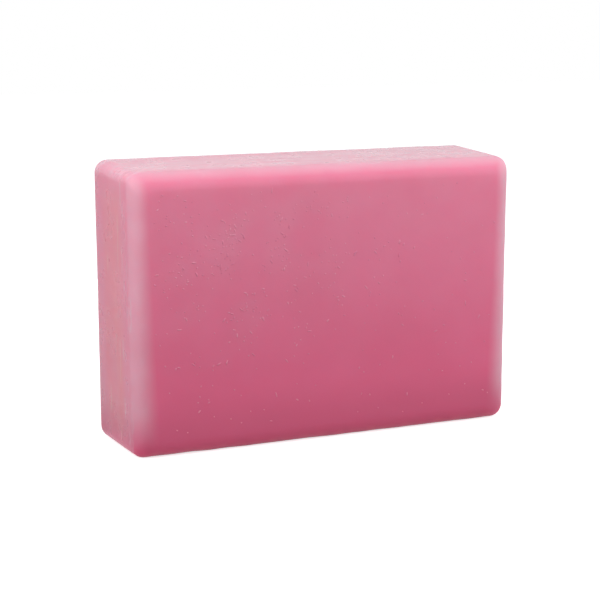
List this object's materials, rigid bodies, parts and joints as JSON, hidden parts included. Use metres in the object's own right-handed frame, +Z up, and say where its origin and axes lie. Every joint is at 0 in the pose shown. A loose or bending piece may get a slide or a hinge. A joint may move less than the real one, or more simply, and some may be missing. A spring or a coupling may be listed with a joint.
{
  "type": "soap bar",
  "caption": "Rectangular bar of cast translucent glycerine soap with soft rounded edges, standing on one long side.",
  "frame": {"origin": "on the surface that the bar stands on, under the middle of its bounding box", "axes": "+X along the bar's long sides, +Y from the cast front face towards the poured back face, +Z up from the long side that it stands on"},
  "size_m": [0.08, 0.0242, 0.0547],
  "materials": {
    "pink_soap": "satin"
  },
  "bodies": {
    "root": {"soap_bar": "pink_soap"}
  },
  "joints": []
}
